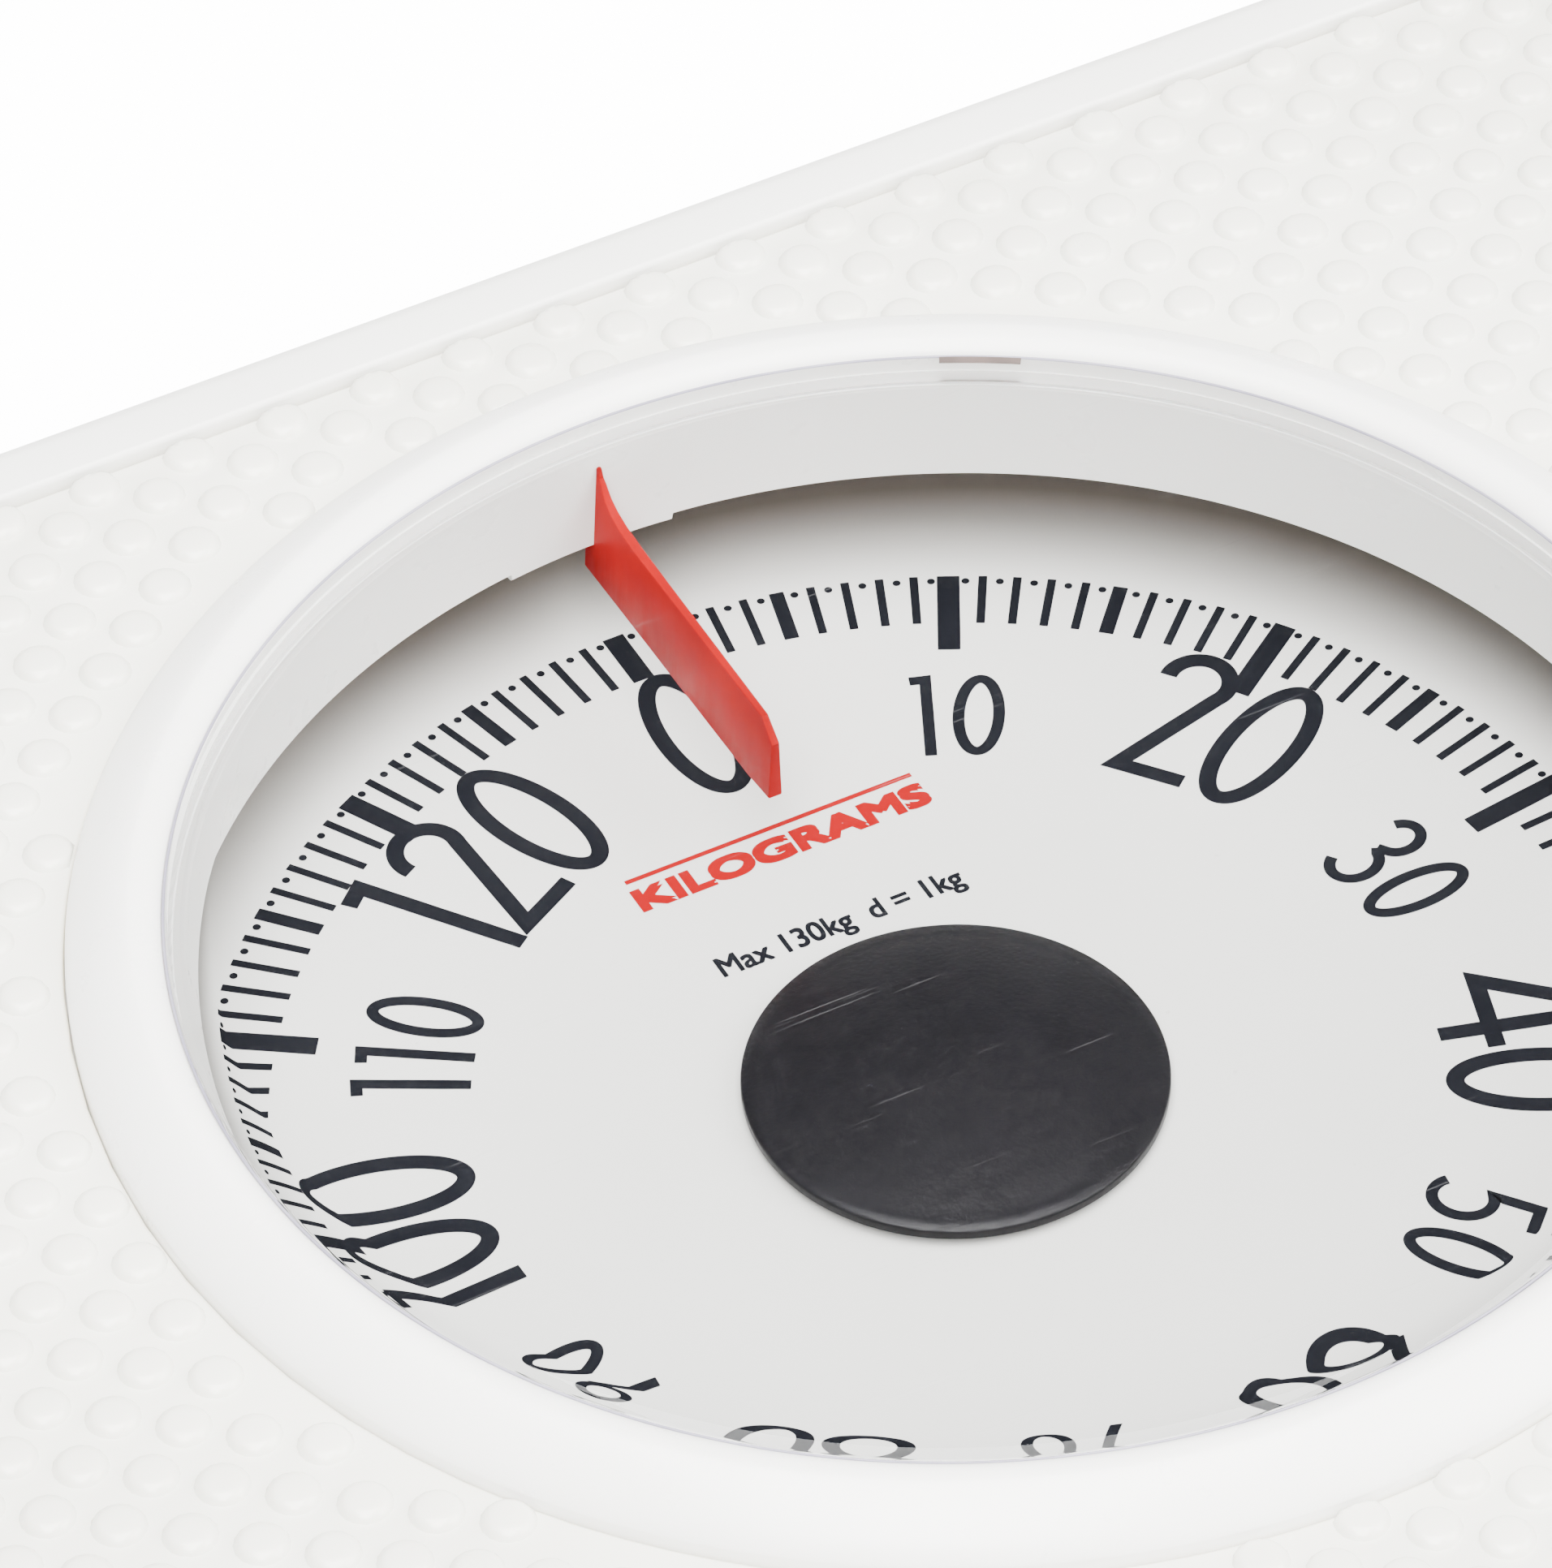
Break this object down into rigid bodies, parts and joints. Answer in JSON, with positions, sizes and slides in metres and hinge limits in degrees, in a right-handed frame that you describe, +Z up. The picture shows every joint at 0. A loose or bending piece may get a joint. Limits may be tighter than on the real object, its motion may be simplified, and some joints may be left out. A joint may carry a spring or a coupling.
{
  "type": "mechanical dial platform scale",
  "caption": "Floor scale with a rectangular platform, pipped mat and round dial well; levers, a spring plate, crank, rack and pinion turn the dial under a fixed pointer.",
  "frame": {"origin": "on the floor, below the middle of the platform", "axes": "+X right, +Y to the far edge where the dial is, +Z up"},
  "size_m": [0.28, 0.38, 0.0761],
  "materials": {
    "white_paint": "semi-gloss white stove enamel",
    "cream_vinyl": "satin vinyl",
    "white_plastic": "satin moulded plastic",
    "clear_plastic": "clear acrylic with fine scratches",
    "red_plastic": "translucent red plastic",
    "dial_face": "satin light grey",
    "cap_plastic": "fine-grained matt black",
    "black_plastic": "matt",
    "rubber": "matt",
    "zinc_steel": "zinc plated sheet",
    "lever_steel": "rolled bar",
    "spring_steel": "drawn wire",
    "rivet_steel": "turned",
    "brass": "turned brass"
  },
  "bodies": {
    "base": {"base_pan": "white_paint", "rubber_feet": "rubber", "fulcrum_brackets": "zinc_steel", "base_rivets": "rivet_steel", "crank_bracket": "zinc_steel", "crank_pin": "rivet_steel", "dial_bridge": "zinc_steel", "upper_bush": "brass", "step_bearing": "brass", "rack_guide": "zinc_steel", "spring_post": "zinc_steel", "screw_bush": "black_plastic", "main_spring": "spring_steel", "return_spring": "spring_steel", "hold_down_springs": "spring_steel", "pan_hooks": "rivet_steel"},
    "platform": {"platform_cover": "white_paint", "platform_mat": "cream_vinyl", "bezel_ring": "white_plastic", "lens": "clear_plastic", "pointer": "red_plastic", "channel_left": "zinc_steel", "channel_right": "zinc_steel", "load_posts": "zinc_steel"},
    "dial": {"dial_disc": "dial_face", "dial_hub": "black_plastic", "hub_cap": "cap_plastic", "dial_shaft": "rivet_steel", "pinion": "brass"},
    "rack": {"rack": "brass", "rack_pin": "rivet_steel"},
    "crank": {"bell_crank": "zinc_steel"},
    "spring_plate": {"spring_plate": "zinc_steel", "plate_pin": "rivet_steel"},
    "long_lever_left": {"long_lever_left": "lever_steel", "long_pivot_left": "rivet_steel"},
    "long_lever_right": {"long_lever_right": "lever_steel", "long_pivot_right": "rivet_steel"},
    "short_lever_left": {"short_lever_left": "lever_steel", "short_pivot_left": "rivet_steel"},
    "short_lever_right": {"short_lever_right": "lever_steel", "short_pivot_right": "rivet_steel"},
    "zero_adjuster": {"zero_wheel": "black_plastic", "zero_screw": "rivet_steel"},
    "hanger": {"hanger_nut": "brass"}
  },
  "joints": [
    {"name": "dial_spin", "type": "hinge", "parent": "base", "child": "dial", "pos_m": [0, 0.104, 0.0509], "axis": [0, 0, 1], "range_deg": [0, 360.18], "stiffness_Nm_per_rad": 0.05758, "springref_deg": -7.45},
    {"name": "platform_press", "type": "slide", "parent": "base", "child": "platform", "axis": [0, 0, -1], "range_m": [0, 0.00178], "deforming": ["hold_down_springs"]},
    {"name": "rack_slide", "type": "slide", "parent": "base", "child": "rack", "axis": [0, 1, 0], "range_m": [0, 0.02012], "deforming": ["return_spring"]},
    {"name": "crank_turn", "type": "hinge", "parent": "base", "child": "crank", "pos_m": [0, 0.124, 0.017], "axis": [-1, 0, 0], "range_deg": [0, 45.48]},
    {"name": "spring_plate_drop", "type": "slide", "parent": "base", "child": "spring_plate", "axis": [0, 0, -1], "range_m": [0, 0.01048], "deforming": ["main_spring"]},
    {"name": "long_lever_left_turn", "type": "hinge", "parent": "base", "child": "long_lever_left", "pos_m": [-0.112, -0.16, 0.02207], "axis": [-1, 0, 0], "range_deg": [0, 1.86]},
    {"name": "long_lever_right_turn", "type": "hinge", "parent": "base", "child": "long_lever_right", "pos_m": [0.112, -0.16, 0.02207], "axis": [-1, 0, 0], "range_deg": [0, 1.86]},
    {"name": "short_lever_left_turn", "type": "hinge", "parent": "base", "child": "short_lever_left", "pos_m": [-0.112, 0.16, 0.02207], "axis": [1, 0, 0], "range_deg": [0, 1.64]},
    {"name": "short_lever_right_turn", "type": "hinge", "parent": "base", "child": "short_lever_right", "pos_m": [0.112, 0.16, 0.02207], "axis": [1, 0, 0], "range_deg": [0, 1.64]},
    {"name": "zero_wheel_turn", "type": "hinge", "parent": "base", "child": "zero_adjuster", "pos_m": [0, 0.163, 0.01], "axis": [0, 0, 1], "range_deg": [-180, 180]},
    {"name": "hanger_lift", "type": "slide", "parent": "base", "child": "hanger", "axis": [0, 0, 1], "range_m": [-0.00051, 0.00051]}
  ],
  "couplings": [
    {"joint": "dial_spin", "follows": "platform_press", "rad_per_m": 3524.3},
    {"joint": "rack_slide", "follows": "platform_press", "ratio": 11.278},
    {"joint": "crank_turn", "follows": "platform_press", "rad_per_m": 445},
    {"joint": "spring_plate_drop", "follows": "platform_press", "ratio": 5.8727},
    {"joint": "long_lever_left_turn", "follows": "platform_press", "rad_per_m": 18.182},
    {"joint": "long_lever_right_turn", "follows": "platform_press", "rad_per_m": 18.182},
    {"joint": "short_lever_left_turn", "follows": "platform_press", "rad_per_m": 16.043},
    {"joint": "short_lever_right_turn", "follows": "platform_press", "rad_per_m": 16.043},
    {"joint": "hanger_lift", "follows": "zero_wheel_turn", "m_per_rad": 0.00015915}
  ]
}
